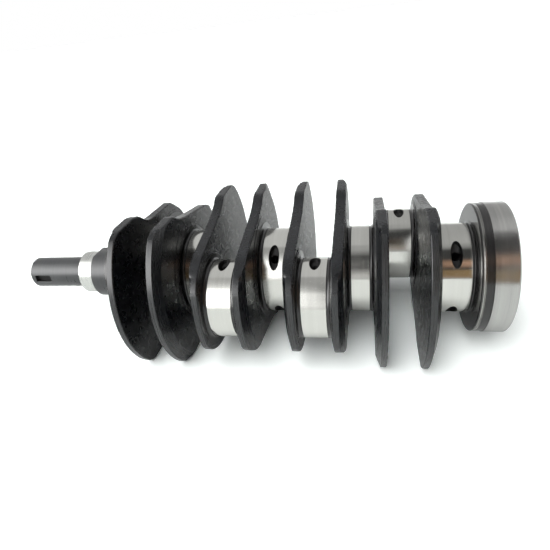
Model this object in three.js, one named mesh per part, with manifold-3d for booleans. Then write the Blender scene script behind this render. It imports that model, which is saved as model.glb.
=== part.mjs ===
// Forged crankshaft of a flat-four engine: five main journals, four crankpins and eight thin webs.
// Units are millimetres. X runs along the axis of rotation, from the nose to the rear flange.
// Z is up. All four throws lie in the XY plane, so the shaft lies at rest on the flat sides of its webs.
// The origin is on the axis of rotation, halfway along the shaft.
import * as THREE from "three";
import { mergeVertices } from "three/addons/utils/BufferGeometryUtils.js";
import Module from "manifold-3d";

const wasm = await Module();
wasm.setup();

// ---- Driving dimensions ----

const MAIN_RADIUS = 30;
const PIN_RADIUS = 26;
const THROW = 37.5; // half the piston stroke

const NOSE_LENGTH = 46;
const SEAL_COLLAR_LENGTH = 12;
const PUMP_COLLAR_LENGTH = 18.75;
const MAIN_LENGTHS = [22.75, 18.5, 22.5, 18.5, 22.5];
const WEB_WIDTH = 7;
const PIN_LENGTH = 22;
const REAR_NECK_LENGTH = 2.25;
const FLANGE_LENGTH = 21.25;

const NOSE_RADIUS = 11.6;
const NOSE_CHAMFER = 1.5;
const KEYWAY_WIDTH = 5.4;
const KEYWAY_LENGTH = 13.25;
const KEYWAY_DEPTH = 3.2;
const KEYWAY_SETBACK = 4.5; // from the end of the nose
const NOSE_THREAD_RADIUS = 5.1;
const NOSE_THREAD_DEPTH = 32;

const SEAL_COLLAR_RADIUS = 16;
const PUMP_COLLAR_RADIUS = 18.7;
const PUMP_FLAT_HEIGHT = 16.9; // from the axis to each of the two drive flats

const SWING_RADIUS = 68.1; // the circle that the webs sweep
const WEB_HALF_HEIGHT = 51.5; // from the axis to the flat sides of a web
const WEB_RIM = 4; // width of the turned rim, next to the crankpin
const WEB_CONE = 8; // how far in the turned cone reaches on the journal side
const WEB_EDGE = 1.25; // edge break of the forged outline, on the journal side
const END_WEB_CHEEK = 1.04; // the first and last webs have cheeks this much wider than the others

const SHOULDER_RISE = 4.5; // how far a shoulder stands out around a journal
const SHOULDER_WIDTH = 0.75;
const FILLET_RISE = 2;
const FILLET_END = 3.5; // where the ground land starts, measured from the web

const MOUTH_WIDTH = 7.2; // oil hole mouths are long around the journal
const MAIN_MOUTH_LENGTH = 18;
const PIN_MOUTH_LENGTH = 15.5;
const MOUTH_DEPTH = 4.5;
const DRILLING_RADIUS = 3;
const GALLERY_RADIUS = 2.5;
const REAR_MAIN_HOLE_SHIFT = 2; // the rear journal's oil holes stand off its middle, away from the web

const REAR_NECK_RADIUS = 29.5;
const REAR_NECK_FILLET = 1.75;
const FLANGE_RADIUS = 43;
const FLANGE_BAND_RADIUS = 42.6; // unground band in front of the seal land
const FLANGE_BAND_LENGTH = 7;
const FLANGE_GROOVE = { start: 1, width: 1.75, depth: 1.3 };
const FLANGE_CHAMFER = 1;
const PILOT_RADIUS = 17.5;
const PILOT_DEPTH = 8;
const BOLT_COUNT = 8;
const BOLT_CIRCLE_RADIUS = 32;
const BOLT_HOLE_RADIUS = 4.25;
const BOLT_HOLE_DEPTH = 17;

const ROUND_STEPS = 32; // facets round a journal
const FLANGE_STEPS = 48;
const HOLE_STEPS = 10;
const MOUTH_STEPS = 6;
const CUT_CLEARANCE = 2; // how far a cutting tool stands out of the surface it cuts

const WEB_COUNT = 8;
const PIN_COUNT = 4;
const MAIN_COUNT = 5;
const FEED_ANGLES = [Math.PI / 4, -Math.PI / 4]; // the two crossed drillings of a fed journal

// ---- Materials ----

const forgedSteel = new THREE.MeshStandardMaterial({ color: 0x2c2e30, roughness: 0.45, metalness: 0.9 });
const groundSteel = new THREE.MeshStandardMaterial({ color: 0xc2c2be, roughness: 0.15, metalness: 1 });
const satinSteel = new THREE.MeshStandardMaterial({ color: 0x6e7072, roughness: 0.35, metalness: 1 });
const sealSteel = new THREE.MeshStandardMaterial({ color: 0xdcdcd6, roughness: 0.25, metalness: 1 });
const flangeSteel = new THREE.MeshStandardMaterial({ color: 0xa8a8a4, roughness: 0.28, metalness: 1 });

// ---- Solids and cuts ----

function toSolid(geometry) {
  const bare = geometry.clone();
  bare.deleteAttribute("normal");
  bare.deleteAttribute("uv");
  const merged = mergeVertices(bare, 1e-4);
  return new wasm.Manifold(
    new wasm.Mesh({
      numProp: 3,
      vertProperties: merged.attributes.position.array,
      triVerts: new Uint32Array(merged.index.array),
    }),
  );
}

function toGeometry(solid) {
  const mesh = solid.getMesh();
  const geometry = new THREE.BufferGeometry();
  geometry.setAttribute("position", new THREE.BufferAttribute(mesh.vertProperties, 3));
  geometry.setIndex(new THREE.BufferAttribute(mesh.triVerts, 1));
  geometry.computeVertexNormals();
  return geometry;
}

// Cuts a mesh with tools that stand in the crankshaft's own frame.
function cut(mesh, tools) {
  mesh.updateMatrixWorld(true);
  const toLocal = mesh.matrixWorld.clone().invert();
  const joined = tools.map((tool) => toSolid(tool.clone().applyMatrix4(toLocal))).reduce((a, b) => a.add(b));
  mesh.geometry = toGeometry(toSolid(mesh.geometry).subtract(joined));
}

// A solid of revolution about X, from [x, radius] points that start and end on the axis.
function turned(profile, steps = ROUND_STEPS) {
  const points = profile.map(([x, radius]) => new THREE.Vector2(radius, x));
  return new THREE.LatheGeometry(points, steps).rotateZ(-Math.PI / 2);
}

function cylinderBetween(start, end, radius) {
  const along = end.clone().sub(start);
  const middle = start.clone().add(end).multiplyScalar(0.5);
  const turn = new THREE.Quaternion().setFromUnitVectors(new THREE.Vector3(0, 1, 0), along.clone().normalize());
  return new THREE.CylinderGeometry(radius, radius, along.length(), HOLE_STEPS)
    .applyQuaternion(turn)
    .translate(middle.x, middle.y, middle.z);
}

// ---- Where each section stands along the axis ----

const TOTAL_LENGTH =
  NOSE_LENGTH +
  SEAL_COLLAR_LENGTH +
  PUMP_COLLAR_LENGTH +
  MAIN_LENGTHS.reduce((sum, length) => sum + length) +
  WEB_COUNT * WEB_WIDTH +
  PIN_COUNT * PIN_LENGTH +
  REAR_NECK_LENGTH +
  FLANGE_LENGTH;

// Crankpins 1 and 4 stand at +Y, and crankpins 2 and 3 at -Y.
const throwOf = (pin) => (pin === 1 || pin === 4 ? THROW : -THROW);

function layOut() {
  const order = [
    ["nose_shaft", NOSE_LENGTH],
    ["front_seal_collar", SEAL_COLLAR_LENGTH],
    ["pump_drive_collar", PUMP_COLLAR_LENGTH],
    ["main_journal_1", MAIN_LENGTHS[0]],
  ];
  for (let pin = 1; pin <= PIN_COUNT; pin++) {
    order.push([`web_${2 * pin - 1}`, WEB_WIDTH]);
    order.push([`crankpin_${pin}`, PIN_LENGTH]);
    order.push([`web_${2 * pin}`, WEB_WIDTH]);
    order.push([`main_journal_${pin + 1}`, MAIN_LENGTHS[pin]]);
  }
  order.push(["rear_neck", REAR_NECK_LENGTH], ["rear_flange", FLANGE_LENGTH]);
  const places = {};
  let x = -TOTAL_LENGTH / 2;
  for (const [name, length] of order) {
    places[name] = { start: x, end: x + length, middle: x + length / 2, length };
    x += length;
  }
  return places;
}

const place = layOut();
const crankshaft = new THREE.Group();
const meshes = {};

function addSection(name, geometry, material, y = 0) {
  const mesh = new THREE.Mesh(geometry, material);
  mesh.name = name;
  mesh.position.set(place[name].start, y, 0);
  crankshaft.add(mesh);
  meshes[name] = mesh;
  return mesh;
}

// ---- Front end ----

function makeNose() {
  const nose = addSection(
    "nose_shaft",
    turned([
      [0, 0],
      [0, NOSE_RADIUS - NOSE_CHAMFER],
      [NOSE_CHAMFER, NOSE_RADIUS],
      [NOSE_LENGTH, NOSE_RADIUS],
      [NOSE_LENGTH, 0],
    ]),
    satinSteel,
  );
  const end = place.nose_shaft.start;
  const keyway = new THREE.BoxGeometry(KEYWAY_LENGTH, KEYWAY_DEPTH + CUT_CLEARANCE, KEYWAY_WIDTH).translate(
    end + KEYWAY_SETBACK + KEYWAY_LENGTH / 2,
    -NOSE_RADIUS + (KEYWAY_DEPTH - CUT_CLEARANCE) / 2,
    0,
  );
  const thread = cylinderBetween(
    new THREE.Vector3(end - CUT_CLEARANCE, 0, 0),
    new THREE.Vector3(end + NOSE_THREAD_DEPTH, 0, 0),
    NOSE_THREAD_RADIUS,
  );
  cut(nose, [keyway, thread]);
}

function makeFrontCollars() {
  const sealProfile = [
    [0, 0],
    [0, SEAL_COLLAR_RADIUS - 0.5],
    [0.5, SEAL_COLLAR_RADIUS],
    [SEAL_COLLAR_LENGTH, SEAL_COLLAR_RADIUS],
    [SEAL_COLLAR_LENGTH, 0],
  ];
  addSection("front_seal_collar", turned(sealProfile), sealSteel);

  const pumpProfile = [
    [0, 0],
    [0, PUMP_COLLAR_RADIUS - 0.75],
    [0.75, PUMP_COLLAR_RADIUS],
    [PUMP_COLLAR_LENGTH, PUMP_COLLAR_RADIUS],
    [PUMP_COLLAR_LENGTH, 0],
  ];
  const collar = addSection("pump_drive_collar", turned(pumpProfile), satinSteel);
  const toolHeight = PUMP_COLLAR_RADIUS;
  const flats = [1, -1].map((side) =>
    new THREE.BoxGeometry(PUMP_COLLAR_LENGTH + 2 * CUT_CLEARANCE, 3 * PUMP_COLLAR_RADIUS, toolHeight).translate(
      place.pump_drive_collar.middle,
      0,
      side * (PUMP_FLAT_HEIGHT + toolHeight / 2),
    ),
  );
  cut(collar, flats);
}

// ---- Journals and crankpins ----

// A ground land with a shoulder and a fillet at each end that meets a web.
function journalProfile(radius, length, frontShoulder, rearShoulder) {
  const shoulder = [
    [0, radius + SHOULDER_RISE],
    [SHOULDER_WIDTH, radius + SHOULDER_RISE],
    [SHOULDER_WIDTH, radius + FILLET_RISE],
    [FILLET_END, radius],
  ];
  const front = frontShoulder ? shoulder : [[0, radius]];
  const rear = rearShoulder ? shoulder.map(([x, r]) => [length - x, r]).reverse() : [[length, radius]];
  return [[0, 0], ...front, ...rear, [length, 0]];
}

// The oval mouth of an oil hole, at an angle round the journal that is counted from +Z towards -Y.
function ovalMouth(radius, mouthLength, angle) {
  const oval = new THREE.Shape();
  oval.absellipse(0, 0, MOUTH_WIDTH / 2, mouthLength / 2, 0, 2 * Math.PI, false, 0);
  return new THREE.ExtrudeGeometry(oval, {
    depth: MOUTH_DEPTH + CUT_CLEARANCE,
    bevelEnabled: false,
    curveSegments: MOUTH_STEPS,
  })
    .translate(0, 0, radius - MOUTH_DEPTH)
    .rotateX(angle);
}

// A drilling straight through a journal, with a mouth at each end.
function crossDrilling(radius, mouthLength, angle, x, y) {
  const through = cylinderBetween(
    new THREE.Vector3(0, 0, -radius - CUT_CLEARANCE),
    new THREE.Vector3(0, 0, radius + CUT_CLEARANCE),
    DRILLING_RADIUS,
  ).rotateX(angle);
  const mouths = [ovalMouth(radius, mouthLength, angle), ovalMouth(radius, mouthLength, angle + Math.PI)];
  return [through, ...mouths].map((tool) => tool.translate(x, y, 0));
}

// Oil reaches each crankpin by a slanted gallery from the nearest fed main journal.
const OIL_FEEDS = [
  { main: 1, pin: 1, web: 1 },
  { main: 3, pin: 2, web: 4 },
  { main: 3, pin: 3, web: 5 },
  { main: 5, pin: 4, web: 8 },
];

function feedCentre(main) {
  const shift = main === MAIN_COUNT ? REAR_MAIN_HOLE_SHIFT : 0;
  return place[`main_journal_${main}`].middle + shift;
}

function gallery({ main, pin }) {
  return cylinderBetween(
    new THREE.Vector3(feedCentre(main), 0, 0),
    new THREE.Vector3(place[`crankpin_${pin}`].middle, throwOf(pin), 0),
    GALLERY_RADIUS,
  );
}

function makeMainJournals() {
  for (let main = 1; main <= MAIN_COUNT; main++) {
    const name = `main_journal_${main}`;
    const profile = journalProfile(MAIN_RADIUS, MAIN_LENGTHS[main - 1], main > 1, main < MAIN_COUNT);
    const journal = addSection(name, turned(profile), groundSteel);
    const feeds = OIL_FEEDS.filter((feed) => feed.main === main);
    if (feeds.length > 0) {
      const drillings = FEED_ANGLES.flatMap((angle) =>
        crossDrilling(MAIN_RADIUS, MAIN_MOUTH_LENGTH, angle, feedCentre(main), 0),
      );
      cut(journal, [...drillings, ...feeds.map(gallery)]);
    }
  }
}

function makeCrankpins() {
  for (let pin = 1; pin <= PIN_COUNT; pin++) {
    const name = `crankpin_${pin}`;
    const y = throwOf(pin);
    const crankpin = addSection(name, turned(journalProfile(PIN_RADIUS, PIN_LENGTH, true, true)), groundSteel, y);
    const drilling = crossDrilling(PIN_RADIUS, PIN_MOUTH_LENGTH, 0, place[name].middle, y);
    cut(crankpin, [...drilling, gallery(OIL_FEEDS[pin - 1])]);
  }
}

// ---- Webs ----

function polar(radius, degrees) {
  const angle = THREE.MathUtils.degToRad(degrees);
  return new THREE.Vector2(Math.cos(angle), Math.sin(angle)).multiplyScalar(radius);
}

// Half of a web's outline, from the tip beyond the crankpin round to the end of the counterweight.
// The first coordinate runs from the axis towards the crankpin, and the second across.
function halfOutline(cheek) {
  const tip = polar(SWING_RADIUS, 17);
  const corner = polar(SWING_RADIUS, 135.5);
  const half = new THREE.Path();
  half.moveTo(SWING_RADIUS, 0);
  half.quadraticCurveTo(SWING_RADIUS, tip.y / 2, tip.x, tip.y);
  half.bezierCurveTo(61.4, 27.2, 53, 32.6, 44, 35.2 * cheek);
  half.lineTo(22, 39.2 * cheek);
  half.bezierCurveTo(8, 41.8 * cheek, -7, 44.5 * cheek, -13.5, 49.2);
  half.quadraticCurveTo(-16.8, WEB_HALF_HEIGHT, -21, WEB_HALF_HEIGHT);
  half.lineTo(-38, WEB_HALF_HEIGHT);
  half.quadraticCurveTo(-44, WEB_HALF_HEIGHT, corner.x, corner.y);
  half.absarc(0, 0, SWING_RADIUS, corner.angle(), Math.PI, false);
  return half.getPoints(4);
}

function webOutline(cheek) {
  const upper = halfOutline(cheek);
  const lower = upper
    .slice(1, -1)
    .map((point) => new THREE.Vector2(point.x, -point.y))
    .reverse();
  return [...upper, ...lower];
}

// The outline drawn in by a distance, along the normal at each point.
function inset(outline, distance) {
  const count = outline.length;
  return outline.map((point, i) => {
    const tangent = outline[(i + 1) % count].clone().sub(outline[(i + count - 1) % count]).normalize();
    return new THREE.Vector2(point.x - tangent.y * distance, point.y + tangent.x * distance);
  });
}

// The web is turned about the axis of rotation: a rim as wide as WEB_RIM, then a cone on the journal side.
function turnedTo(points, x) {
  const limit = SWING_RADIUS - (WEB_CONE * Math.max(0, x - WEB_RIM)) / (WEB_WIDTH - WEB_RIM);
  return points.map((point) => point.clone().clampLength(0, limit));
}

// A web with its crankpin side at x = 0 and its throw towards +Y.
function webGeometry(cheek) {
  const outline = webOutline(cheek);
  const count = outline.length;
  const edgeStart = WEB_WIDTH - WEB_EDGE;
  const rings = [
    { x: 0, points: outline },
    { x: WEB_RIM, points: outline },
    { x: edgeStart, points: turnedTo(outline, edgeStart) },
    { x: WEB_WIDTH, points: turnedTo(inset(outline, WEB_EDGE), WEB_WIDTH) },
  ];
  const positions = rings.flatMap(({ x, points }) => points.flatMap((point) => [x, point.x, point.y]));
  const indices = [];
  for (let ring = 0; ring + 1 < rings.length; ring++) {
    for (let i = 0; i < count; i++) {
      const a = ring * count + i;
      const b = ring * count + ((i + 1) % count);
      indices.push(a, b, b + count, a, b + count, a + count);
    }
  }
  const lastRing = (rings.length - 1) * count;
  for (const [a, b, c] of THREE.ShapeUtils.triangulateShape(outline, [])) indices.push(a, c, b);
  for (const [a, b, c] of THREE.ShapeUtils.triangulateShape(rings[rings.length - 1].points, [])) {
    indices.push(lastRing + a, lastRing + b, lastRing + c);
  }
  const geometry = new THREE.BufferGeometry();
  geometry.setAttribute("position", new THREE.Float32BufferAttribute(positions, 3));
  geometry.setIndex(indices);
  geometry.computeVertexNormals();
  return geometry;
}

// Each web is turned half a turn about one axis to suit its throw and its side of the crankpin.
function makeWebs() {
  const innerShape = webGeometry(1);
  const endShape = webGeometry(END_WEB_CHEEK);
  for (let web = 1; web <= WEB_COUNT; web++) {
    const name = `web_${web}`;
    const shape = web === 1 || web === WEB_COUNT ? endShape : innerShape;
    const pin = Math.ceil(web / 2);
    const pinOnRight = web % 2 === 1;
    const throwForward = throwOf(pin) < 0;
    const mesh = addSection(name, shape, forgedSteel);
    if (pinOnRight) mesh.position.x = place[name].end;
    if (pinOnRight && throwForward) mesh.rotation.z = Math.PI;
    else if (pinOnRight) mesh.rotation.y = Math.PI;
    else if (throwForward) mesh.rotation.x = Math.PI;
    const feed = OIL_FEEDS.find((candidate) => candidate.web === web);
    if (feed) cut(mesh, [gallery(feed)]);
  }
}

// ---- Rear end ----

function makeRearNeck() {
  const profile = [
    [0, 0],
    [0, MAIN_RADIUS],
    [0.5, REAR_NECK_RADIUS],
    [REAR_NECK_LENGTH - 0.75, REAR_NECK_RADIUS + 0.5],
    [REAR_NECK_LENGTH, MAIN_RADIUS + REAR_NECK_FILLET],
    [REAR_NECK_LENGTH, 0],
  ];
  addSection("rear_neck", turned(profile), forgedSteel);
}

function makeFlange() {
  const { start, width, depth } = FLANGE_GROOVE;
  const profile = [
    [0, 0],
    [0, FLANGE_BAND_RADIUS - 0.5],
    [0.5, FLANGE_BAND_RADIUS],
    [start, FLANGE_BAND_RADIUS],
    [start + width / 2, FLANGE_BAND_RADIUS - depth],
    [start + width, FLANGE_BAND_RADIUS],
    [FLANGE_BAND_LENGTH, FLANGE_BAND_RADIUS],
    [FLANGE_BAND_LENGTH + 0.25, FLANGE_RADIUS],
    [FLANGE_LENGTH - FLANGE_CHAMFER, FLANGE_RADIUS],
    [FLANGE_LENGTH, FLANGE_RADIUS - FLANGE_CHAMFER],
    [FLANGE_LENGTH, PILOT_RADIUS],
    [FLANGE_LENGTH - PILOT_DEPTH, PILOT_RADIUS],
    [FLANGE_LENGTH - PILOT_DEPTH, 0],
  ];
  const flange = addSection("rear_flange", turned(profile, FLANGE_STEPS), flangeSteel);
  const rearFace = place.rear_flange.end;
  const holes = [];
  for (let bolt = 0; bolt < BOLT_COUNT; bolt++) {
    const angle = ((bolt + 0.5) / BOLT_COUNT) * 2 * Math.PI;
    const y = BOLT_CIRCLE_RADIUS * Math.cos(angle);
    const z = BOLT_CIRCLE_RADIUS * Math.sin(angle);
    const bottom = new THREE.Vector3(rearFace - BOLT_HOLE_DEPTH, y, z);
    const mouth = new THREE.Vector3(rearFace + CUT_CLEARANCE, y, z);
    holes.push(cylinderBetween(bottom, mouth, BOLT_HOLE_RADIUS));
  }
  cut(flange, holes);
}

makeNose();
makeFrontCollars();
makeMainJournals();
makeCrankpins();
makeWebs();
makeRearNeck();
makeFlange();

export default crankshaft;
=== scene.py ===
"""Looks of a forged flat-four crankshaft, built around its packed sections.

X runs along the axis of rotation from the nose to the rear flange, and Z is up.
Sections are drawn in millimetres, and become metres when their mesh is made.
"""

import math

import bpy
from mathutils import Matrix, Vector


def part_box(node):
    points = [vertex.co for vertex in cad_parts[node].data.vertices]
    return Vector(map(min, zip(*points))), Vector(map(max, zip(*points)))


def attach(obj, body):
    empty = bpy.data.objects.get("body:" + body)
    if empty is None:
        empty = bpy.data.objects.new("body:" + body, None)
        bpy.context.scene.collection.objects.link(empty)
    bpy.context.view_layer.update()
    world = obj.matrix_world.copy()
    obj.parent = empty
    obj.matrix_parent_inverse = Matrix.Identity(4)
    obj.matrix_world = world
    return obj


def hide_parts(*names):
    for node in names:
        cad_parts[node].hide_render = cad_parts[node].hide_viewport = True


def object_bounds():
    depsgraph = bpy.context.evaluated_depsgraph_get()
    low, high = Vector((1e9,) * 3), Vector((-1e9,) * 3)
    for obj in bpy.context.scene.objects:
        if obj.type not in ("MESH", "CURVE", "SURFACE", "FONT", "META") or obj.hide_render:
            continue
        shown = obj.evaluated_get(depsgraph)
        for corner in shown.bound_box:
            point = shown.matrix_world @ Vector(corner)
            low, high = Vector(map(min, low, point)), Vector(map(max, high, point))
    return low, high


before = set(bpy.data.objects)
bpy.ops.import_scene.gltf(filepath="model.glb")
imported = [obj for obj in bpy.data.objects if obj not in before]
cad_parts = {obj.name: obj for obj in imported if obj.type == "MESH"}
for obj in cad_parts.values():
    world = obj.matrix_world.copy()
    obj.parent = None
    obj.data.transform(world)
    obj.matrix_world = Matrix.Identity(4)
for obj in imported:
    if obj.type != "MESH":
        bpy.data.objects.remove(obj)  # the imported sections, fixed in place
cad_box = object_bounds()

MM = 0.001


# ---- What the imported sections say, in millimetres ----


def span(node):
    """Where a section starts and ends along the shaft."""
    low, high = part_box(node)
    return low.x / MM, high.x / MM


def reach(node):
    """Half the height of a section: its radius, if it is round."""
    low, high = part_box(node)
    return (high.z - low.z) / 2 / MM


def offset(node):
    """How far the middle of a section stands from the axis of rotation, along Y."""
    low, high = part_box(node)
    return (high.y + low.y) / 2 / MM


# ---- Sizes, in millimetres ----

SHOULDER_RISE = 4.5  # how far the shoulder beside a web stands out around a journal
MAIN_RADIUS = reach("main_journal_2") - SHOULDER_RISE
PIN_RADIUS = reach("crankpin_1") - SHOULDER_RISE
THROW = offset("crankpin_1")
NOSE_RADIUS = reach("nose_shaft")
SEAL_RADIUS = reach("front_seal_collar")
PUMP_FLAT = reach("pump_drive_collar")
PUMP_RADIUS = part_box("pump_drive_collar")[1].y / MM
FLANGE_RADIUS = reach("rear_flange")
WEB_HALF_HEIGHT = reach("web_1")
SWING_RADIUS = -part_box("web_1")[0].y / MM  # the circle that the webs sweep
WEB_WIDTH = span("web_1")[1] - span("web_1")[0]

SHOULDER_WIDTH = 0.75
LAND_START = 3.5  # where a ground land starts, measured from its web
UNDERCUT = 0.35  # depth of the rolled fillet below the land
FILLET_RADIUS = 1.9

WIDER_CHEEKS = {1: 1.085, 8: 1.04}  # how much wider the outer webs are beside their crankpins
WEB_RIM = 4  # width of the turned rim, next to the crankpin
WEB_CONE = 8  # how far in the turned cone reaches on the journal side
PIN_SIDE_ROUND = 0.8  # radius of the web's edge on its crankpin side
JOURNAL_SIDE_ROUND = 1.4
PIN_PAD_RADIUS = 32.2  # the machined pad round a crankpin
MAIN_PAD_RADIUS = 39.8
PAD_RISE = 0.4

DRILLING_RADIUS = 3
MAIN_DRILLING_ANGLES = (45, -45)  # in degrees from upright
MOUTH_HALF_WIDTH = 3.6
MAIN_MOUTH_HALF_LENGTH = 9
MAIN_MOUTH_DEPTH = 4.5
PIN_MOUTH_HALF_LENGTH = 7.75
PIN_MOUTH_DEPTH = 3.5
LIP = 0.3  # the broken edge of a mouth
REAR_HOLE_SHIFT = 2  # the rear journal's oil holes stand off its middle, away from the web

KEYWAY_HALF_WIDTH = 2.7
KEYWAY_LENGTH = 13.25
KEYWAY_DEPTH = 3.2
KEYWAY_SETBACK = 4.5
NOSE_CHAMFER = 1.5
NOSE_THREAD = {"radius": 5.1, "depth": 32, "pitch": 1.5}

BAND_RADIUS = 42.6  # unground band in front of the seal land
BAND_LENGTH = 7
PILOT_RADIUS = 17.5
PILOT_DEPTH = 8
BOLT_COUNT = 8
BOLT_CIRCLE = 32
BOLT_THREAD = {"radius": 4.25, "depth": 17, "pitch": 1.25}

ON_SURFACE = 0.03  # how near to a radius a point has to be, to count as on it
ON_PLANE = 0.05  # how near to a plane the middle of a face has to be, to count as on it
SHARP_DEGREES = 32  # an edge that turns by more than this is shaded as a sharp one

JOURNAL_STEPS = 160  # facets round each kind of surface
FLANGE_STEPS = 192
NOSE_STEPS = 128
PAD_STEPS = 128
MOUTH_STEPS = 64
THREAD_STEPS = 40


# ---- Points and curves ----


def curve(points, steps):
    """Points along a Bezier curve, without its start."""
    made = []
    for step in range(1, steps + 1):
        level = [Vector(point) for point in points]
        while len(level) > 1:
            level = [a.lerp(b, step / steps) for a, b in zip(level, level[1:])]
        made.append(level[0])
    return made


def polar(radius, degrees):
    angle = math.radians(degrees)
    return Vector((radius * math.cos(angle), radius * math.sin(angle)))


def quarter_turn(steps):
    """Angles from nothing to a quarter of a turn, in radians."""
    return [math.radians(90 * step / steps) for step in range(steps + 1)]


def circle(radius, steps):
    return [polar(radius, 360 * step / steps) for step in range(steps)]


def rounded(points, steps=5):
    """A profile of (x, radius) points, where a third number rounds the corner at that point."""
    made = []
    for i, point in enumerate(points):
        corner = Vector(point[:2])
        if len(point) == 2:
            made.append(corner)
            continue
        back = (Vector(points[i - 1][:2]) - corner).normalized()
        ahead = (Vector(points[i + 1][:2]) - corner).normalized()
        half = back.angle(ahead) / 2
        centre = corner + (back + ahead).normalized() * point[2] / math.sin(half)
        start = corner + back * point[2] / math.tan(half) - centre
        end = corner + ahead * point[2] / math.tan(half) - centre
        for step in range(steps + 1):
            made.append(centre + start.slerp(end, step / steps).normalized() * point[2])
    return made


def inset(outline, distance):
    """An anticlockwise outline drawn in by a distance, along the normal at each point."""
    made = []
    for i, point in enumerate(outline):
        along = (outline[(i + 1) % len(outline)] - outline[i - 1]).normalized()
        made.append(point + Vector((-along.y, along.x)) * distance)
    return made


# ---- Solids ----


def loft(name, rings):
    """A closed solid skinned over rings of points in millimetres, with a flat face at each end."""
    count = len(rings[0])
    faces = []
    for start in range(0, (len(rings) - 1) * count, count):
        for i in range(count):
            a = start + i
            b = start + (i + 1) % count
            faces.append((a, b, b + count, a + count))
    last = (len(rings) - 1) * count
    faces.append(tuple(reversed(range(count))))
    faces.append(tuple(range(last, last + count)))
    mesh = bpy.data.meshes.new(name)
    mesh.from_pydata([Vector(point) * MM for ring in rings for point in ring], [], faces)
    solid = bpy.data.objects.new(name, mesh)
    bpy.context.scene.collection.objects.link(solid)
    return solid


def turned(name, profile, y=0.0, steps=JOURNAL_STEPS):
    """A solid of revolution about an axis along X, from (x, radius) points."""
    spokes = circle(1, steps)
    return loft(name, [[(x, y + r * s.x, r * s.y) for s in spokes] for x, r in profile])


def apply_modifiers(piece):
    graph = bpy.context.evaluated_depsgraph_get()
    made = bpy.data.meshes.new_from_object(
        piece.evaluated_get(graph), preserve_all_data_layers=True, depsgraph=graph
    )
    piece.modifiers.clear()
    old = piece.data
    piece.data = made
    bpy.data.meshes.remove(old)


def combine(piece, tools, operation="DIFFERENCE"):
    """Cuts the tools out of a piece, or joins them to it, and removes the tools."""
    for tool in tools:
        modifier = piece.modifiers.new(tool.name, "BOOLEAN")
        modifier.operation = operation
        modifier.solver = "EXACT"
        modifier.object = tool
    apply_modifiers(piece)
    for tool in tools:
        mesh = tool.data
        bpy.data.objects.remove(tool)
        bpy.data.meshes.remove(mesh)


def shade(piece):
    """Smooth shading that keeps flats flat and machined edges crisp."""
    piece.data.shade_smooth()
    piece.data.set_sharp_from_angle(angle=math.radians(SHARP_DEGREES))
    modifier = piece.modifiers.new("flat faces lead", "WEIGHTED_NORMAL")
    modifier.keep_sharp = True
    apply_modifiers(piece)


def true_round(piece, radius, y=0.0):
    """Gives every facet at a radius the normals of a real cylinder, so that no facet shows."""
    mesh = piece.data
    normals = [Vector(normal.vector) for normal in mesh.corner_normals]
    for face in mesh.polygons:
        corners = [mesh.vertices[index].co / MM for index in face.vertices]
        spokes = [Vector((0, corner.y - y, corner.z)) for corner in corners]
        if all(abs(spoke.length - radius) < ON_SURFACE for spoke in spokes):
            for loop, spoke in zip(face.loop_indices, spokes):
                normals[loop] = spoke.normalized()
    mesh.normals_split_custom_set(normals)


def finish_piece(piece, node, materials=(), rule=None):
    """Gives a piece its materials and its place on the shaft.

    The rule picks the number of a material for a face, by the middle of the face in millimetres.
    """
    for material in materials:
        piece.data.materials.append(material)
    if rule:
        for face in piece.data.polygons:
            face.material_index = rule(face.center / MM)
    piece.name = f"{node}_finished"
    piece.data.name = piece.name
    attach(piece, "root")
    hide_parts(node)


# ---- Cutting tools ----


def flat_ring(outline, height):
    return [(point.x, point.y, height) for point in outline]


def surface_ring(outline, radius, depth):
    """The outline laid on a cylinder about X and sunk below its surface."""
    return [(point.x, point.y, math.sqrt(radius**2 - point.y**2) - depth) for point in outline]


def oval(half_width, half_length):
    return [Vector((p.x * half_width, p.y * half_length)) for p in circle(1, MOUTH_STEPS)]


def place_tool(tool, degrees, x, y):
    """Turns a tool that stands along Z about the X axis, from +Z towards -Y, and puts it in place."""
    tool.data.transform(Matrix.Rotation(math.radians(degrees), 4, "X"))
    tool.data.transform(Matrix.Translation(Vector((x, y, 0)) * MM))
    return tool


def cross_drilling(radius, half_length, depth, degrees, x, y):
    """A drilling straight through a journal, with a long oval mouth and a broken lip at each end.

    A mouth narrows a little as it goes in, and runs out into the drilling below its depth.
    """
    drill = oval(DRILLING_RADIUS, DRILLING_RADIUS)
    clear = 1.5  # how far the tool stands out of the surface
    runout = 1
    half = [
        flat_ring(drill, radius - depth - runout),
        flat_ring(oval(MOUTH_HALF_WIDTH - LIP - 0.15, half_length - 1.2), radius - depth),
        surface_ring(oval(MOUTH_HALF_WIDTH - LIP, half_length - LIP), radius, LIP),
        surface_ring(oval(MOUTH_HALF_WIDTH, half_length), radius, 0),
        surface_ring(oval(MOUTH_HALF_WIDTH + clear, half_length + clear), radius, -clear),
    ]
    other = [[(px, py, -pz) for px, py, pz in ring] for ring in reversed(half)]
    return place_tool(loft("drilling", other + half), degrees, x, y)


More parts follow.
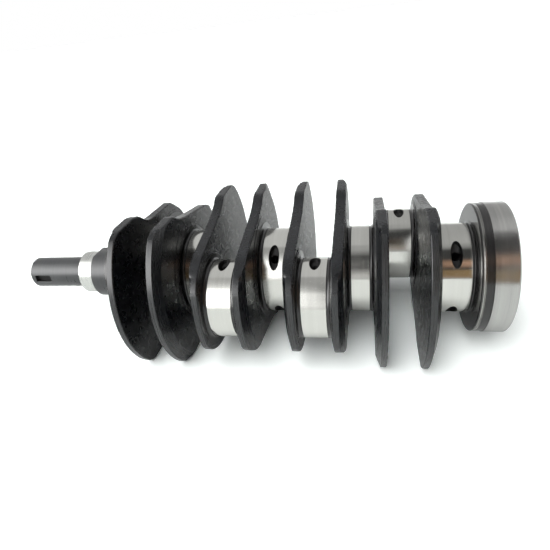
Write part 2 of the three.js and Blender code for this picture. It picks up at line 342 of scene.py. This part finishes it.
def keyway_tool():
    """The slot for the pulley's key, with small corners and a broken lip."""
    half_length = KEYWAY_LENGTH / 2
    corner = 0.5

    def slot(grow):
        length = half_length + grow
        width = KEYWAY_HALF_WIDTH + grow
        made = []
        for side_x, side_y, start in ((1, 1, 0), (-1, 1, 90), (-1, -1, 180), (1, -1, 270)):
            centre = Vector((side_x * (length - corner), side_y * (width - corner)))
            made += [centre + polar(corner, start + 90 * step / 4) for step in range(5)]
        return made

    lip = 0.2
    bevel = 0.25  # along the edge of its floor
    rings = [
        flat_ring(slot(-bevel), NOSE_RADIUS - KEYWAY_DEPTH),
        flat_ring(slot(0), NOSE_RADIUS - KEYWAY_DEPTH + bevel),
        surface_ring(slot(0), NOSE_RADIUS, lip),
        surface_ring(slot(lip), NOSE_RADIUS, 0),
        surface_ring(slot(lip + 1), NOSE_RADIUS, -1),
    ]
    start = span("nose_shaft")[0] + KEYWAY_SETBACK
    return place_tool(loft("keyway", rings), 90, start + half_length, 0)


def thread_tool(thread, mouth, inward, y=0.0, z=0.0):
    """A tapped blind hole along X: a helical thread, a countersunk mouth and a drill point.

    Inward is 1 for a hole that runs towards +X from its mouth, and -1 for one that runs towards -X.
    """
    radius = thread["radius"]
    pitch = thread["pitch"]
    rise = pitch * 0.5
    sink = 0.8  # depth of the countersunk mouth
    runout = 1.5  # plain drilling below the thread
    drill_point = radius * 0.55
    turns_per_sample = 1 / 8
    samples = int(thread["depth"] / pitch / turns_per_sample)
    rings = [
        [(mouth - 1, radius + rise + 1.2)] * THREAD_STEPS,
        [(mouth + sink, radius + rise - 0.6)] * THREAD_STEPS,
    ]
    for sample in range(samples + 1):
        along = sink + sample * turns_per_sample * pitch
        ring = []
        for step in range(THREAD_STEPS):
            phase = (along / pitch + step / THREAD_STEPS) % 1
            ring.append((mouth + along, radius - rise / 4 + rise * abs(2 * phase - 1)))
        rings.append(ring)
    depth = mouth + thread["depth"]
    rings.append([(depth + runout, radius)] * THREAD_STEPS)
    rings.append([(depth + runout + drill_point, 0.05)] * THREAD_STEPS)
    spokes = circle(1, THREAD_STEPS)
    points = [[(x, y + r * s.x, z + r * s.y) for (x, r), s in zip(ring, spokes)] for ring in rings]
    if inward < 0:
        points = [[(2 * mouth - px, py, pz) for px, py, pz in ring] for ring in reversed(points)]
    return loft("thread", points)


# ---- Materials ----


class Look:
    """A node material. Values that are the same all over go straight onto the shader's own sockets."""

    def __init__(self, name, **uniform):
        self.material = bpy.data.materials.new(name)
        self.material.use_nodes = True
        self.tree = self.material.node_tree
        self.shader = self.tree.nodes["Principled BSDF"]
        for socket, value in uniform.items():
            self.shader.inputs[socket.replace("_", " ")].default_value = value
        self.place = self.add("ShaderNodeTexCoord").outputs["Object"]

    def add(self, kind, **settings):
        node = self.tree.nodes.new(kind)
        for name, value in settings.items():
            setattr(node, name, value)
        return node

    def join(self, source, target):
        self.tree.links.new(source, target)

    def drive(self, socket, source):
        self.join(source, self.shader.inputs[socket])

    def stretched(self, along, across):
        """Object coordinates scaled along X and across it: a small across draws lines round the shaft."""
        node = self.add("ShaderNodeMapping")
        node.inputs["Scale"].default_value = (along, across, across)
        self.join(self.place, node.inputs["Vector"])
        return node.outputs["Vector"]

    def noise(self, scale, detail=3.0, roughness=0.5, vector=None):
        node = self.add("ShaderNodeTexNoise")
        node.inputs["Scale"].default_value = scale
        node.inputs["Detail"].default_value = detail
        node.inputs["Roughness"].default_value = roughness
        self.join(vector or self.place, node.inputs["Vector"])
        return node.outputs["Fac"]

    def ramp(self, factor, stops):
        """A colour that follows a factor. Each stop is (place, grey level) or (place, colour)."""
        node = self.add("ShaderNodeValToRGB")
        elements = node.color_ramp.elements
        while len(elements) < len(stops):
            elements.new(0.5)
        for element, (where, colour) in zip(elements, stops):
            element.position = where
            level = colour if isinstance(colour, tuple) else (colour,) * 3
            element.color = (*level, 1)
        self.join(factor, node.inputs["Fac"])
        return node.outputs["Color"]

    def math(self, operation, first, second):
        node = self.add("ShaderNodeMath", operation=operation)
        for socket, value in zip(node.inputs, (first, second)):
            if isinstance(value, (int, float)):
                socket.default_value = value
            else:
                self.join(value, socket)
        return node.outputs[0]

    def mix(self, factor, first, second):
        """Blends two colours by a factor."""
        node = self.add("ShaderNodeMix", data_type="RGBA")
        self.join(factor, node.inputs["Factor"])
        self.join(first, node.inputs[6])
        self.join(second, node.inputs[7])
        return node.outputs[2]

    def bump(self, height, depth_mm, below=None):
        node = self.add("ShaderNodeBump")
        node.inputs["Distance"].default_value = depth_mm * MM
        self.join(height, node.inputs["Height"])
        if below:
            self.join(below, node.inputs["Normal"])
        return node.outputs["Normal"]

    def rubbed_and_highlit_edge(self, width_mm):
        """1 on an outside edge and 0 away from it, broken up by a fine noise. It marks where edges are
        lightened, partly as rubbed wear and partly as a painted highlight.
        """
        bevel = self.add("ShaderNodeBevel", samples=4)
        bevel.inputs["Radius"].default_value = width_mm * MM
        dot = self.add("ShaderNodeVectorMath", operation="DOT_PRODUCT")
        self.join(bevel.outputs["Normal"], dot.inputs[0])
        self.join(self.add("ShaderNodeNewGeometry").outputs["Normal"], dot.inputs[1])
        turned_away = self.math("SUBTRACT", 1.0, dot.outputs["Value"])
        broken = self.math("MULTIPLY", turned_away, self.math("ADD", self.noise(900), 0.5))
        return self.ramp(broken, [(0.02, 0.0), (0.16, 1.0)])


def forged_look():
    """Dark nitrided forging: faintly mottled, satin, with rubbed edges whose lighter colour is partly
    wear and partly a painted edge highlight.
    """
    look = Look("nitrided_forging", IOR=1.5)
    blotches = look.noise(110, detail=5, roughness=0.6)
    grain = look.noise(900, detail=4, roughness=0.6)
    skin = look.ramp(blotches, [
        (0.3, (0.005, 0.0055, 0.0065)),
        (0.55, (0.008, 0.009, 0.0105)),
        (0.8, (0.014, 0.0155, 0.018)),
    ])
    # the lighter colour along the edges: partly rubbed wear, partly a painted highlight where the rounded
    # edges would catch the light
    edge = look.ramp(grain, [(0.3, 0.035), (0.7, 0.085)])
    wear_and_highlight = look.rubbed_and_highlit_edge(0.5)
    look.drive("Base Color", look.mix(wear_and_highlight, skin, edge))
    look.drive("Roughness", look.ramp(look.noise(260, detail=4), [(0.3, 0.24), (0.7, 0.34)]))
    swell = look.bump(look.noise(45, detail=2), 0.04)
    dimples = look.bump(look.noise(420, detail=3), 0.005, swell)
    look.drive("Normal", look.bump(grain, 0.003, dimples))
    return look.material


def turned_rim_look():
    """The lathe-turned rim and cone of the webs: dark like the forging, with fine tool lines."""
    look = Look("turned_rim", IOR=1.6)
    lines = look.noise(1.0, detail=2, vector=look.stretched(2600, 60))
    patches = look.noise(120, detail=4)
    dark = (0.012, 0.013, 0.014)
    light = (0.020, 0.021, 0.022)
    look.drive("Base Color", look.ramp(patches, [(0.3, dark), (0.7, light)]))
    look.drive("Roughness", look.ramp(lines, [(0.3, 0.25), (0.7, 0.31)]))
    look.drive("Normal", look.bump(lines, 0.0012))
    return look.material


def fillet_look():
    """Rolled fillets and shoulders beside the lands: black from nitriding, but smooth and glossy."""
    look = Look("rolled_fillet", IOR=1.6)
    rings = look.noise(1.0, detail=2, vector=look.stretched(1800, 20))
    dark = (0.007, 0.007, 0.007)
    light = (0.018, 0.017, 0.017)
    look.drive("Base Color", look.ramp(rings, [(0.3, dark), (0.7, light)]))
    look.drive("Roughness", look.ramp(rings, [(0.3, 0.12), (0.7, 0.22)]))
    look.drive("Normal", look.bump(rings, 0.004))
    return look.material


def turned_nose_look():
    """The nose and the pump collar: turned, then darkened by nitriding, with rubbed satin rings."""
    look = Look("nose_satin", IOR=1.6)
    rings = look.noise(1.0, detail=3, vector=look.stretched(700, 10))
    smears = look.noise(70, detail=4)
    mixed = look.math("ADD", look.math("MULTIPLY", rings, 0.5), look.math("MULTIPLY", smears, 0.5))
    dark = (0.030, 0.031, 0.033)
    light = (0.050, 0.052, 0.053)
    look.drive("Base Color", look.ramp(mixed, [(0.35, dark), (0.65, light)]))
    look.drive("Roughness", look.ramp(mixed, [(0.35, 0.26), (0.65, 0.36)]))
    look.drive("Normal", look.bump(rings, 0.003))
    return look.material


def ground_look(name, dark, light, smooth, rough, line_depth):
    """Ground steel, with grinding lines round the shaft and a little colour drift between them."""
    look = Look(name, Metallic=1.0, Anisotropic=0.6, Anisotropic_Rotation=0.25)
    tangent = look.add("ShaderNodeTangent", direction_type="RADIAL", axis="X")
    look.drive("Tangent", tangent.outputs["Tangent"])
    fine = look.noise(1.0, detail=3, roughness=0.6, vector=look.stretched(2400, 12))
    broad = look.noise(1.0, detail=2, vector=look.stretched(320, 14))
    smears = look.noise(90, detail=3)
    drift = look.math("ADD", look.math("MULTIPLY", broad, 0.6), look.math("MULTIPLY", fine, 0.4))
    look.drive("Base Color", look.ramp(drift, [(0.3, dark), (0.7, light)]))
    haze = look.math("ADD", look.math("MULTIPLY", smears, 0.5), look.math("MULTIPLY", fine, 0.5))
    look.drive("Roughness", look.ramp(haze, [(0.3, smooth), (0.7, rough)]))
    look.drive("Normal", look.bump(fine, line_depth))
    return look.material


def shaded_bore_look():
    """Drilled and tapped holes: rough, and painted near-black as the shade deep inside them."""
    look = Look("drilled_bore_painted_shade", IOR=1.4)
    marks = look.noise(900, detail=3)
    # painted shade: the near-black colour stands for the shade inside holes and slots
    look.drive("Base Color", look.ramp(marks, [(0.3, 0.006), (0.7, 0.02)]))
    look.drive("Roughness", look.ramp(marks, [(0.3, 0.45), (0.7, 0.6)]))
    look.drive("Normal", look.bump(marks, 0.02))
    return look.material


FORGED = forged_look()
RIM = turned_rim_look()
FILLET = fillet_look()
# the near-black bore finish is painted shade for the inside of the holes and the keyway
SHADED_BORE = shaded_bore_look()
JOURNAL = ground_look("journal_ground", (0.70, 0.70, 0.66), (0.79, 0.79, 0.75), 0.10, 0.15, 0.001)
NOSE = turned_nose_look()
SEAL = ground_look("seal_ground", (0.66, 0.67, 0.64), (0.76, 0.77, 0.74), 0.24, 0.34, 0.002)
FLANGE = ground_look("flange_ground", (0.42, 0.42, 0.41), (0.55, 0.55, 0.53), 0.18, 0.27, 0.002)


# ---- Front end ----


def make_nose():
    start, end = span("nose_shaft")
    profile = rounded([
        (start, NOSE_RADIUS - NOSE_CHAMFER - 0.6),
        (start, NOSE_RADIUS - NOSE_CHAMFER, 0.3),
        (start + NOSE_CHAMFER, NOSE_RADIUS, 0.8),
        (end, NOSE_RADIUS),
    ])
    nose = turned("nose", profile, steps=NOSE_STEPS)
    combine(nose, [keyway_tool(), thread_tool(NOSE_THREAD, start, 1)])
    shade(nose)
    true_round(nose, NOSE_RADIUS)

    def rule(centre):
        distance = math.hypot(centre.y, centre.z)
        bore = distance < NOSE_THREAD["radius"] + 1
        in_line = centre.y < 0 and abs(centre.z) <= KEYWAY_HALF_WIDTH + 0.1
        slot = in_line and distance < NOSE_RADIUS - 0.15 and centre.x > start + KEYWAY_SETBACK - 0.1
        # faces in the threaded bore and in the keyway take the near-black bore finish: painted shade
        # inside the hole and the slot
        return 1 if (bore or slot) and centre.x < end - 0.1 else 0

    finish_piece(nose, "nose_shaft", [NOSE, SHADED_BORE], rule)


def make_seal_collar():
    start, end = span("front_seal_collar")
    chamfer = 0.5
    step = 0.4  # width and height of the dark step at its rear end
    profile = rounded([
        (start, NOSE_RADIUS - 1),
        (start, SEAL_RADIUS - chamfer, 0.15),
        (start + chamfer, SEAL_RADIUS, 0.4),
        (end - step, SEAL_RADIUS, 0.1),
        (end - step, SEAL_RADIUS - step),
        (end, SEAL_RADIUS - step),
    ])
    collar = turned("seal collar", profile, steps=NOSE_STEPS)
    shade(collar)
    true_round(collar, SEAL_RADIUS)

    def rule(centre):
        return 1 if centre.x > end - step - ON_PLANE else 0

    finish_piece(collar, "front_seal_collar", [SEAL, FILLET], rule)


def make_pump_collar():
    """The collar with two flats that drive the oil pump."""
    start, end = span("pump_drive_collar")
    chamfer = 0.75

    def flatted(radius, flat):
        edge = math.degrees(math.asin(flat / radius))
        steps = 40
        right = [polar(radius, edge * (2 * step / steps - 1)) for step in range(steps + 1)]
        return right + [-point for point in right]

    def ring(x, radius, flat):
        return [(x, point.x, point.y) for point in flatted(radius, flat)]

    collar = loft("pump collar", [
        ring(start, PUMP_RADIUS - chamfer, PUMP_FLAT - 0.3),
        ring(start + chamfer * 0.15, PUMP_RADIUS - chamfer * 0.75, PUMP_FLAT - 0.15),
        ring(start + chamfer * 0.85, PUMP_RADIUS - chamfer * 0.1, PUMP_FLAT - 0.02),
        ring(start + chamfer, PUMP_RADIUS, PUMP_FLAT),
        ring(end, PUMP_RADIUS, PUMP_FLAT),
    ])
    shade(collar)
    true_round(collar, PUMP_RADIUS)
    finish_piece(collar, "pump_drive_collar", [NOSE])


# ---- Journals and crankpins ----


def shoulder(radius):
    """Profile from a web to a ground land: shoulder ring, rolled fillet, undercut, edge of the land."""
    return [
        (0, radius + SHOULDER_RISE),
        (SHOULDER_WIDTH, radius + SHOULDER_RISE, 0.3),
        (SHOULDER_WIDTH + 0.15, radius - UNDERCUT, FILLET_RADIUS),
        (LAND_START - 0.3, radius - UNDERCUT, 0.1),
        (LAND_START, radius, 0.12),
    ]


def journal_profile(node, radius, front, rear):
    """Front and rear say whether that end meets a web. An end that doesn't has a broken edge only."""
    start, end = span(node)
    first = shoulder(radius) if front else [(0, radius - 0.4), (0.4, radius, 0.1), (LAND_START, radius)]
    last = shoulder(radius) if rear else [(0, radius - 0.3), (0.3, radius, 0.1)]
    profile = [(start + x, *rest) for x, *rest in first]
    profile += [(end - x, *rest) for x, *rest in reversed(last)]
    return rounded(profile)


def make_journal(node, radius, front, rear, drillings):
    """A ground land, with its oil drillings and the fillets beside its webs."""
    y = offset(node)
    journal = turned(node, journal_profile(node, radius, front, rear), y)
    if drillings:
        combine(journal, drillings)
    shade(journal)
    true_round(journal, radius, y)
    start, end = span(node)
    margin = LAND_START - 0.2  # leaves the broken edge of the land with the land
    land_start = start + margin
    land_end = end - (margin if rear else 0)

    def rule(centre):
        distance = math.hypot(centre.y - y, centre.z)
        # faces outside the land take the dark fillet finish; at an end without a web, as at the front of
        # the first journal, this also darkens the first few millimetres of the land
        if not land_start < centre.x < land_end:
            return 1
        # any face inside the land that sits below its surface, such as a mouth, its broken lip or a
        # drilling, takes the near-black bore finish as painted shade
        return 2 if distance < radius - ON_SURFACE else 0

    finish_piece(journal, node, [JOURNAL, FILLET, SHADED_BORE], rule)


def make_journals():
    for main in range(1, 6):
        node = f"main_journal_{main}"
        start, end = span(node)
        drillings = []
        if main in (1, 3, 5):
            x = (start + end) / 2 + (REAR_HOLE_SHIFT if main == 5 else 0)
            for degrees in MAIN_DRILLING_ANGLES:
                mouth = (MAIN_MOUTH_HALF_LENGTH, MAIN_MOUTH_DEPTH)
                drillings.append(cross_drilling(MAIN_RADIUS, *mouth, degrees, x, 0))
        make_journal(node, MAIN_RADIUS, main > 1, main < 5, drillings)
    for pin in range(1, 5):
        node = f"crankpin_{pin}"
        start, end = span(node)
        x = (start + end) / 2
        tool = cross_drilling(PIN_RADIUS, PIN_MOUTH_HALF_LENGTH, PIN_MOUTH_DEPTH, 0, x, offset(node))
        make_journal(node, PIN_RADIUS, True, True, [tool])


# ---- Webs ----


def half_outline(cheek, waist):
    """Half of a web, from the tip beyond its crankpin to the end of its counterweight.

    Each point is (distance towards the crankpin, distance across).
    """
    tip_degrees = 17
    corner_degrees = 135.5
    made = [polar(SWING_RADIUS, tip_degrees * step / 10) for step in range(11)]
    made += curve([made[-1], (61.4, 27.2), (53, 32.6), (44, 35.2 * cheek)], 16)
    made += curve([made[-1], waist[0]], 5)
    made += curve(waist, 20)
    made += curve([made[-1], (-16.8, WEB_HALF_HEIGHT), (-21, WEB_HALF_HEIGHT)], 8)
    made += curve([made[-1], (-38, WEB_HALF_HEIGHT)], 4)
    made += curve([made[-1], (-44, WEB_HALF_HEIGHT), polar(SWING_RADIUS, corner_degrees)], 8)
    steps = 34
    sweep = 180 - corner_degrees
    made += [polar(SWING_RADIUS, corner_degrees + sweep * step / steps) for step in range(1, steps + 1)]
    return made


def web_outline(web):
    """The outer webs have wider cheeks, and the first web a deeper waist beside its counterweight."""
    cheek = WIDER_CHEEKS.get(web, 1)
    if web == 1:
        waist = [(22, 39.6), (6, 40.2), (-3, 39.6), (-5.5, 49.5), (-13.5, 50.3)]
    else:
        waist = [(22, 39.2 * cheek), (8, 41.8 * cheek), (-7, 44.5 * cheek), (-13.5, 49.2)]
    upper = half_outline(cheek, waist)
    lower = [Vector((point.x, -point.y)) for point in reversed(upper[1:-1])]
    return upper + lower


def cone_limit(x):
    """Radius that the web is turned to, at a distance from its crankpin side."""
    return SWING_RADIUS - WEB_CONE * max(0.0, x - WEB_RIM) / (WEB_WIDTH - WEB_RIM)


def turned_to(points, limit):
    return [point if point.length <= limit else point.normalized() * limit for point in points]


def web_body(web):
    """A web with its crankpin side at x = 0 and its crankpin towards +Y."""
    outline = web_outline(web)
    drawn_in = []
    for angle in quarter_turn(4):
        x = PIN_SIDE_ROUND * (1 - math.cos(angle))
        drawn_in.append((x, PIN_SIDE_ROUND * (1 - math.sin(angle))))
    drawn_in.append((WEB_RIM, 0))
    for angle in quarter_turn(6):
        x = WEB_WIDTH - JOURNAL_SIDE_ROUND * (1 - math.sin(angle))
        drawn_in.append((x, JOURNAL_SIDE_ROUND * (1 - math.cos(angle))))
    rings = []
    for x, distance in drawn_in:
        points = turned_to(inset(outline, distance), cone_limit(x) - (distance if x == 0 else 0))
        rings.append([(x, point.x, point.y) for point in points])
    return loft("web", rings)


def pad(centre, radius, face_x, outward):
    """A low round pad on a face of a web, kept inside the turned rim."""
    edge = [(-1.5, 0.4), (0.0, 0.4), (PAD_RISE * 0.7, 0.12), (PAD_RISE, -0.15)]  # (height, growth)
    if outward < 0:
        edge.reverse()
    limit = SWING_RADIUS - 1.2 if outward < 0 else cone_limit(WEB_WIDTH) - 0.6
    rings = []
    for height, grow in edge:
        outline = [point + Vector((centre, 0)) for point in circle(radius + grow, PAD_STEPS)]
        points = turned_to(outline, limit + grow)
        rings.append([(face_x + outward * height, point.x, point.y) for point in points])
    return loft("pad", rings)


def web_turn(pin_after, towards_minus):
    """The half turn that puts a web's crankpin side and its throw the right way round."""
    if pin_after:
        return Matrix.Rotation(math.pi, 4, "Z" if towards_minus else "Y")
    return Matrix.Rotation(math.pi, 4, "X") if towards_minus else Matrix.Identity(4)


def on_turned_rim(face):
    """Whether a face of a web that isn't in its place yet is part of the turned rim or cone."""
    centre = face.center / MM
    distance = math.hypot(centre.y, centre.z)
    on_limit = abs(distance - cone_limit(centre.x)) < 0.12
    outward = face.normal.y * centre.y + face.normal.z * centre.z > 0.2 * distance
    return on_limit and outward and centre.x > 0


def make_web(web):
    node = f"web_{web}"
    start, end = span(node)
    body = web_body(web)
    pads = [pad(THROW, PIN_PAD_RADIUS, 0, -1), pad(0, MAIN_PAD_RADIUS, WEB_WIDTH, 1)]
    combine(body, pads, "UNION")
    shade(body)
    for material in (FORGED, RIM):
        body.data.materials.append(material)
    for face in body.data.polygons:
        face.material_index = 1 if on_turned_rim(face) else 0
    pin_after = web % 2 == 1
    towards_minus = offset(f"crankpin_{(web + 1) // 2}") < 0
    place = Matrix.Translation(Vector((end if pin_after else start, 0, 0)) * MM)
    body.data.transform(place @ web_turn(pin_after, towards_minus))
    finish_piece(body, node)


# ---- Rear end ----


def make_neck():
    start, end = span("rear_neck")
    profile = rounded([
        (start, MAIN_RADIUS - 0.9),
        (start + 0.6, MAIN_RADIUS - 0.9, 0.2),
        (start + 0.8, MAIN_RADIUS - 0.3, 0.15),
        (end - 0.6, MAIN_RADIUS - 0.2, 0.5),
        (end, reach("rear_neck"), 0.05),
        (end + 0.05, reach("rear_neck") - 0.2),
    ])
    neck = turned("neck", profile)
    shade(neck)
    finish_piece(neck, "rear_neck", [FILLET])


def make_flange():
    start, end = span("rear_flange")
    groove_start = start + 1
    groove_end = start + 2.75
    band_end = start + BAND_LENGTH + 0.25
    profile = rounded([
        (start, MAIN_RADIUS),
        (start, BAND_RADIUS - 0.6, 0.1),
        (start + 0.4, BAND_RADIUS, 0.3),
        (groove_start, BAND_RADIUS, 0.15),
        (start + 1.85, BAND_RADIUS - 1.3, 0.25),
        (groove_end, BAND_RADIUS, 0.15),
        (start + BAND_LENGTH, BAND_RADIUS, 0.1),
        (band_end, FLANGE_RADIUS, 0.15),
        (end - 1, FLANGE_RADIUS, 0.3),
        (end, FLANGE_RADIUS - 1, 0.2),
        (end, PILOT_RADIUS + 0.6, 0.1),
        (end - 0.6, PILOT_RADIUS, 0.1),
        (end - PILOT_DEPTH, PILOT_RADIUS, 0.5),
        (end - PILOT_DEPTH, 3),
    ])
    flange = turned("flange", profile, steps=FLANGE_STEPS)
    tools = []
    for bolt in range(BOLT_COUNT):
        spot = polar(BOLT_CIRCLE, 360 * (bolt + 0.5) / BOLT_COUNT)
        tools.append(thread_tool(BOLT_THREAD, end, -1, spot.x, spot.y))
    combine(flange, tools)
    shade(flange)
    true_round(flange, FLANGE_RADIUS)
    true_round(flange, BAND_RADIUS)

    def rule(centre):
        distance = math.hypot(centre.y, centre.z)
        if groove_start < centre.x < groove_end and distance < BAND_RADIUS - 0.15:
            return 0
        if centre.x < groove_start or distance > BAND_RADIUS - 2 and centre.x < band_end:
            return 1
        near_bolt = abs(distance - BOLT_CIRCLE) < BOLT_THREAD["radius"] + 1
        # faces round the bolt holes, below the rear face, take the near-black bore finish: painted shade
        # inside the tapped holes
        return 2 if near_bolt and centre.x < end - ON_PLANE else 0

    finish_piece(flange, "rear_flange", [FLANGE, FILLET, SHADED_BORE], rule)


# ---- Studio ----


def make_floor():
    """A plain pale floor under the flat sides of the webs. Seen from below, it lets the view through."""
    plain = (0.70, 0.72, 0.71, 1)
    to_camera = (1.17, 1.22, 1.205, 1)  # lifts the lit floor to the white of the background
    look = Look("pale_floor")
    tree = look.tree
    tree.nodes.remove(look.shader)
    diffuse = look.add("ShaderNodeBsdfDiffuse")
    seen = look.add("ShaderNodeMix", data_type="RGBA")
    look.join(look.add("ShaderNodeLightPath").outputs["Is Camera Ray"], seen.inputs["Factor"])
    seen.inputs[6].default_value = plain
    seen.inputs[7].default_value = to_camera
    look.join(seen.outputs[2], diffuse.inputs["Color"])
    clear = look.add("ShaderNodeBsdfTransparent")
    sided = look.add("ShaderNodeMixShader")
    look.join(look.add("ShaderNodeNewGeometry").outputs["Backfacing"], sided.inputs[0])
    look.join(diffuse.outputs[0], sided.inputs[1])
    look.join(clear.outputs[0], sided.inputs[2])
    look.join(sided.outputs[0], tree.nodes["Material Output"].inputs["Surface"])
    half = 30.0
    height = cad_box[0].z
    mesh = bpy.data.meshes.new("floor")
    corners = [(-half, -half, height), (half, -half, height), (half, half, height), (-half, half, height)]
    mesh.from_pydata(corners, [], [(0, 1, 2, 3)])
    mesh.materials.append(look.material)
    floor = bpy.data.objects.new("floor", mesh)
    bpy.context.scene.collection.objects.link(floor)


def make_studio():
    """A soft dome that lights the scene, and the room that polished metal shows.

    Both depend on direction only. The dome is brightest above and to the left in front. The room
    has a bright window and a softbox to the left in front, a dark doorway in the middle, a wooden
    cupboard with a shelf to the right, and plain grey walls behind.
    """
    world = bpy.data.worlds.new("studio")
    bpy.context.scene.world = world
    world.use_nodes = True
    world.cycles.sampling_method = "NONE"  # so that every ray knows whether it shows the room or the dome
    tree = world.node_tree
    nodes = tree.nodes
    join = tree.links.new

    def fade(value, low, high, dim=0.0, bright=1.0):
        node = nodes.new("ShaderNodeMapRange")
        node.interpolation_type = "SMOOTHSTEP"
        join(value, node.inputs["Value"])
        node.inputs["From Min"].default_value = low
        node.inputs["From Max"].default_value = high
        node.inputs["To Min"].default_value = dim
        node.inputs["To Max"].default_value = bright
        return node.outputs["Result"]

    def ramp(factor, stops):
        """A colour that follows elevation, in degrees."""
        node = nodes.new("ShaderNodeValToRGB")
        elements = node.color_ramp.elements
        while len(elements) < len(stops):
            elements.new(0.5)
        for element, (degrees, colour) in zip(elements, stops):
            element.position = math.sin(math.radians(degrees)) / 2 + 0.5
            level = colour if isinstance(colour, tuple) else (colour,) * 3
            element.color = (*level, 1)
        join(factor, node.inputs["Fac"])
        return node.outputs["Color"]

    def blend(factor, first, second):
        node = nodes.new("ShaderNodeMix")
        node.data_type = "RGBA"
        join(factor, node.inputs["Factor"])
        for socket, value in ((node.inputs[6], first), (node.inputs[7], second)):
            if isinstance(value, tuple):
                socket.default_value = value
            else:
                join(value, socket)
        return node.outputs[2]

    direction = nodes.new("ShaderNodeTexCoord").outputs["Generated"]
    parts = nodes.new("ShaderNodeSeparateXYZ")
    join(direction, parts.inputs[0])
    x, y, z = parts.outputs
    height = nodes.new("ShaderNodeMapRange")
    join(z, height.inputs["Value"])
    height.inputs["From Min"].default_value = -1
    height = height.outputs["Result"]

    wood = (0.3, 0.2, 0.1)
    shaded_wood = tuple(level / 2 for level in wood)
    shelf = (0.5, 0.3, 0.2)
    dark = 0.05
    wall = 0.4
    bright_wall = 0.6
    softbox = 1.6
    daylight = 6.0

    cupboard = ramp(height, [
        (0, wall), (5, wood), (20, wood), (25, dark), (35, shelf), (40, shelf),
        (50, dark), (70, dark), (80, wall),
    ])
    recess = ramp(height, [(0, wall), (10, shaded_wood), (40, dark), (70, dark), (80, wall)])
    doorway = ramp(height, [(10, bright_wall), (30, dark), (60, dark), (80, wall)])
    haze = ramp(height, [(0, 0.9), (40, 0.9), (50, wall)])
    panel = ramp(height, [(0, 0.9), (10, softbox), (45, softbox), (70, wall)])
    window = ramp(height, [(0, 0.9), (15, daylight), (35, daylight), (55, 1.0), (75, wall)])
    far_wall = ramp(height, [(0, 0.9), (10, wall)])
    far_left = ramp(height, [(0, 0.9), (10, bright_wall)])
    far_right = ramp(height, [(0, 0.9), (10, bright_wall), (50, bright_wall), (70, 0.9)])
    right = blend(fade(x, 0.1, 0.2), blend(fade(x, 0.0, 0.1), doorway, recess), cupboard)
    middle = blend(fade(x, -0.1, -0.05), haze, right)
    left = blend(fade(x, -0.3, -0.2), window, panel)
    near_side = blend(fade(x, -0.2, -0.1), left, middle)
    far_side = blend(fade(x, 0.2, 0.3), blend(fade(x, -0.15, 0.15), far_left, far_wall), far_right)
    shown = blend(fade(y, -0.05, 0.1), near_side, far_side)

    squashed = nodes.new("ShaderNodeVectorMath")
    squashed.operation = "MULTIPLY"
    squashed.inputs[1].default_value = (1.0, 0.45, 1.0)  # makes the bright part longer along Y
    join(direction, squashed.inputs[0])
    unit = nodes.new("ShaderNodeVectorMath")
    unit.operation = "NORMALIZE"
    join(squashed.outputs["Vector"], unit.inputs[0])
    nearness = nodes.new("ShaderNodeVectorMath")
    nearness.operation = "DOT_PRODUCT"
    nearness.inputs[1].default_value = (-0.33, -0.42, 0.85)  # the middle of the bright part
    join(unit.outputs["Vector"], nearness.inputs[0])
    dome = fade(nearness.outputs["Value"], 0.80, 1.0, 0.12, 7.0)

    path = nodes.new("ShaderNodeLightPath")
    lit = blend(path.outputs["Is Glossy Ray"], dome, shown)
    seen = blend(path.outputs["Is Camera Ray"], lit, (1.0, 1.0, 1.0, 1.0))
    join(seen, nodes["Background"].inputs["Color"])


def make_camera():
    """A short lens, close above the shaft and a little to the right of its middle."""
    data = bpy.data.cameras.new("camera")
    data.lens = 29.58
    data.clip_start = 0.01
    camera = bpy.data.objects.new("camera", data)
    camera.location = Vector((87.1, -281.7, 159.8)) * MM
    camera.rotation_euler = [math.radians(degrees) for degrees in (60.156, 6.180, 9.660)]
    bpy.context.scene.collection.objects.link(camera)
    bpy.context.scene.camera = camera
    bpy.context.scene.view_settings.view_transform = "Standard"


make_nose()
make_seal_collar()
make_pump_collar()
make_journals()
for number in range(1, 9):
    make_web(number)
make_neck()
make_flange()
make_floor()
make_studio()
make_camera()
